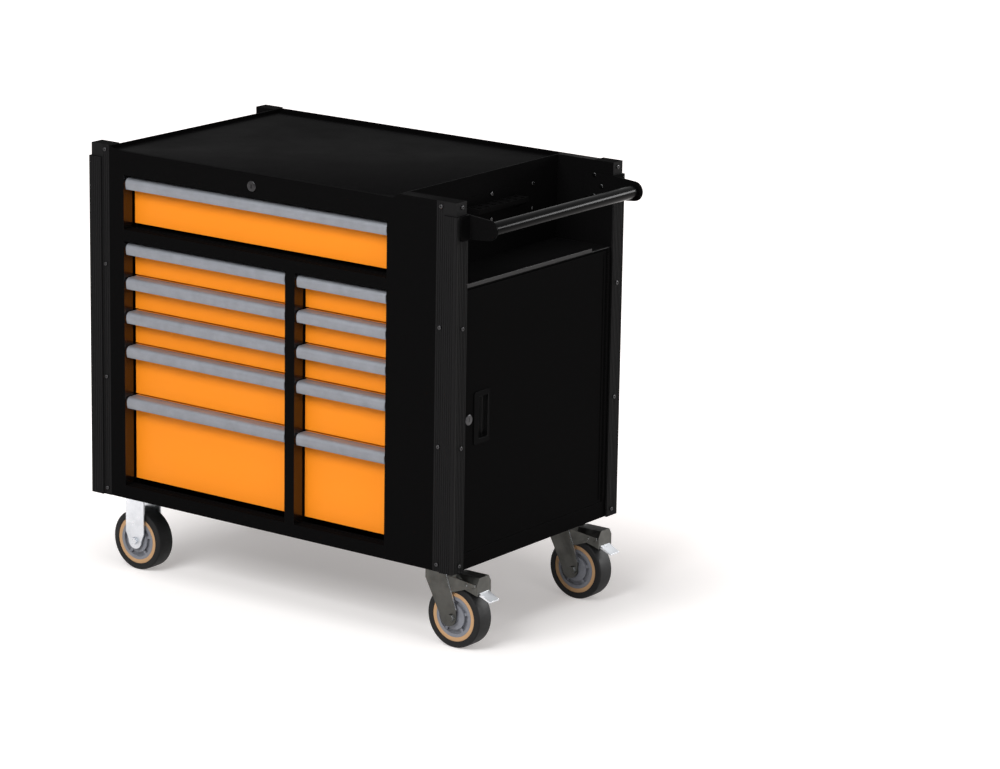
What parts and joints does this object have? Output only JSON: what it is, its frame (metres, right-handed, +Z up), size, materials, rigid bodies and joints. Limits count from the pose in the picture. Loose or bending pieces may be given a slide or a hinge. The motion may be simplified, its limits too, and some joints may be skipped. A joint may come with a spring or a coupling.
{
  "type": "rolling tool workstation",
  "caption": "Wheeled tool cabinet with two columns of drawers under a full-width drawer, a recessed worktop, a side locker with an open well and tool rack, and a push handle.",
  "frame": {"origin": "on the floor, under the middle of the whole part's box", "axes": "+X along the drawers towards the push handle, +Y from the drawer fronts to the back, +Z up"},
  "size_m": [1.2029, 0.672, 1.081],
  "materials": {
    "cabinet_paint": "satin powder coat",
    "post_paint": "satin powder coat, ribbed",
    "handle_paint": "gloss powder coat",
    "drawer_paint": "gloss powder coat",
    "pull_aluminium": "satin anodised",
    "tyre_rubber": "matte",
    "wheel_core": "moulded",
    "zinc_steel": "bright zinc plate",
    "fork_steel": "dark zinc plate",
    "lock_chrome": "black chrome",
    "slide_steel": "zinc plate",
    "screw_steel": "black zinc plate"
  },
  "bodies": {
    "cabinet": {"front_frame": "cabinet_paint", "left_side_panel": "cabinet_paint", "back_panel": "cabinet_paint", "base_pan": "cabinet_paint", "worktop": "cabinet_paint", "locker_partition": "cabinet_paint", "bay_dividers": "cabinet_paint", "slide_uprights": "cabinet_paint", "cabinet_slides": "slide_steel", "well_floor": "cabinet_paint", "locker_shelf": "cabinet_paint", "right_side_frame": "cabinet_paint", "corner_posts": "post_paint", "corner_guards": "post_paint", "cabinet_screws": "screw_steel", "tool_rack": "cabinet_paint", "handle_tube": "handle_paint", "handle_brackets": "cabinet_paint", "hinge_frame_leaf": "cabinet_paint", "rigid_casters": "zinc_steel", "swivel_top_plates": "zinc_steel"},
    "top_drawer": {"top_drawer": "drawer_paint", "top_drawer_pull": "pull_aluminium"},
    "left_drawer_1": {"left_drawer_1": "drawer_paint", "left_drawer_1_pull": "pull_aluminium"},
    "left_drawer_2": {"left_drawer_2": "drawer_paint", "left_drawer_2_pull": "pull_aluminium"},
    "left_drawer_3": {"left_drawer_3": "drawer_paint", "left_drawer_3_pull": "pull_aluminium"},
    "left_drawer_4": {"left_drawer_4": "drawer_paint", "left_drawer_4_pull": "pull_aluminium"},
    "left_drawer_5": {"left_drawer_5": "drawer_paint", "left_drawer_5_pull": "pull_aluminium"},
    "right_drawer_1": {"right_drawer_1": "drawer_paint", "right_drawer_1_pull": "pull_aluminium"},
    "right_drawer_2": {"right_drawer_2": "drawer_paint", "right_drawer_2_pull": "pull_aluminium"},
    "right_drawer_3": {"right_drawer_3": "drawer_paint", "right_drawer_3_pull": "pull_aluminium"},
    "right_drawer_4": {"right_drawer_4": "drawer_paint", "right_drawer_4_pull": "pull_aluminium"},
    "right_drawer_5": {"right_drawer_5": "drawer_paint", "right_drawer_5_pull": "pull_aluminium"},
    "door": {"locker_door": "cabinet_paint", "door_pull": "cabinet_paint", "hinge_door_leaf": "cabinet_paint"},
    "door_lock": {"door_lock": "lock_chrome"},
    "drawer_lock": {"drawer_lock": "lock_chrome"},
    "front_swivel": {"front_swivel_fork": "fork_steel"},
    "front_brake": {"front_brake_pedal": "fork_steel"},
    "front_left_wheel": {"front_left_tyre": "tyre_rubber", "front_left_wheel_core": "wheel_core"},
    "front_right_wheel": {"front_right_tyre": "tyre_rubber", "front_right_wheel_core": "wheel_core"},
    "rear_swivel": {"rear_swivel_fork": "fork_steel"},
    "rear_brake": {"rear_brake_pedal": "fork_steel"},
    "rear_left_wheel": {"rear_left_tyre": "tyre_rubber", "rear_left_wheel_core": "wheel_core"},
    "rear_right_wheel": {"rear_right_tyre": "tyre_rubber", "rear_right_wheel_core": "wheel_core"}
  },
  "joints": [
    {"name": "top_drawer_slide", "type": "slide", "parent": "cabinet", "child": "top_drawer", "axis": [0, -1, 0], "range_m": [0, 0.47]},
    {"name": "left_drawer_1_slide", "type": "slide", "parent": "cabinet", "child": "left_drawer_1", "axis": [0, -1, 0], "range_m": [0, 0.47]},
    {"name": "left_drawer_2_slide", "type": "slide", "parent": "cabinet", "child": "left_drawer_2", "axis": [0, -1, 0], "range_m": [0, 0.47]},
    {"name": "left_drawer_3_slide", "type": "slide", "parent": "cabinet", "child": "left_drawer_3", "axis": [0, -1, 0], "range_m": [0, 0.47]},
    {"name": "left_drawer_4_slide", "type": "slide", "parent": "cabinet", "child": "left_drawer_4", "axis": [0, -1, 0], "range_m": [0, 0.47]},
    {"name": "left_drawer_5_slide", "type": "slide", "parent": "cabinet", "child": "left_drawer_5", "axis": [0, -1, 0], "range_m": [0, 0.47]},
    {"name": "right_drawer_1_slide", "type": "slide", "parent": "cabinet", "child": "right_drawer_1", "axis": [0, -1, 0], "range_m": [0, 0.47]},
    {"name": "right_drawer_2_slide", "type": "slide", "parent": "cabinet", "child": "right_drawer_2", "axis": [0, -1, 0], "range_m": [0, 0.47]},
    {"name": "right_drawer_3_slide", "type": "slide", "parent": "cabinet", "child": "right_drawer_3", "axis": [0, -1, 0], "range_m": [0, 0.47]},
    {"name": "right_drawer_4_slide", "type": "slide", "parent": "cabinet", "child": "right_drawer_4", "axis": [0, -1, 0], "range_m": [0, 0.47]},
    {"name": "right_drawer_5_slide", "type": "slide", "parent": "cabinet", "child": "right_drawer_5", "axis": [0, -1, 0], "range_m": [0, 0.47]},
    {"name": "locker_door_hinge", "type": "hinge", "parent": "cabinet", "child": "door", "pos_m": [0.515, 0.2755, 0.242], "axis": [0, 0, 1], "range_deg": [0, 115]},
    {"name": "door_lock_turn", "type": "hinge", "parent": "door", "child": "door_lock", "pos_m": [0.5135, -0.2735, 0.561], "axis": [1, 0, 0], "range_deg": [0, 90]},
    {"name": "drawer_lock_turn", "type": "hinge", "parent": "cabinet", "child": "drawer_lock", "pos_m": [-0.0885, -0.331, 1.0395], "axis": [0, 1, 0], "range_deg": [0, 90]},
    {"name": "front_swivel_turn", "type": "hinge", "parent": "cabinet", "child": "front_swivel", "pos_m": [0.4285, -0.247, 0.2], "axis": [0, 0, 1], "continuous": true},
    {"name": "front_brake_press", "type": "hinge", "parent": "front_swivel", "child": "front_brake", "pos_m": [0.5165, -0.247, 0.162], "axis": [0, 1, 0], "range_deg": [0, 7]},
    {"name": "front_left_wheel_spin", "type": "hinge", "parent": "cabinet", "child": "front_left_wheel", "pos_m": [-0.5075, -0.247, 0.0762], "axis": [0, 1, 0], "continuous": true},
    {"name": "front_right_wheel_spin", "type": "hinge", "parent": "front_swivel", "child": "front_right_wheel", "pos_m": [0.4775, -0.247, 0.0762], "axis": [0, 1, 0], "continuous": true},
    {"name": "rear_swivel_turn", "type": "hinge", "parent": "cabinet", "child": "rear_swivel", "pos_m": [0.4285, 0.247, 0.2], "axis": [0, 0, 1], "continuous": true},
    {"name": "rear_brake_press", "type": "hinge", "parent": "rear_swivel", "child": "rear_brake", "pos_m": [0.5165, 0.247, 0.162], "axis": [0, 1, 0], "range_deg": [0, 7]},
    {"name": "rear_left_wheel_spin", "type": "hinge", "parent": "cabinet", "child": "rear_left_wheel", "pos_m": [-0.5075, 0.247, 0.0762], "axis": [0, 1, 0], "continuous": true},
    {"name": "rear_right_wheel_spin", "type": "hinge", "parent": "rear_swivel", "child": "rear_right_wheel", "pos_m": [0.4775, 0.247, 0.0762], "axis": [0, 1, 0], "continuous": true}
  ]
}
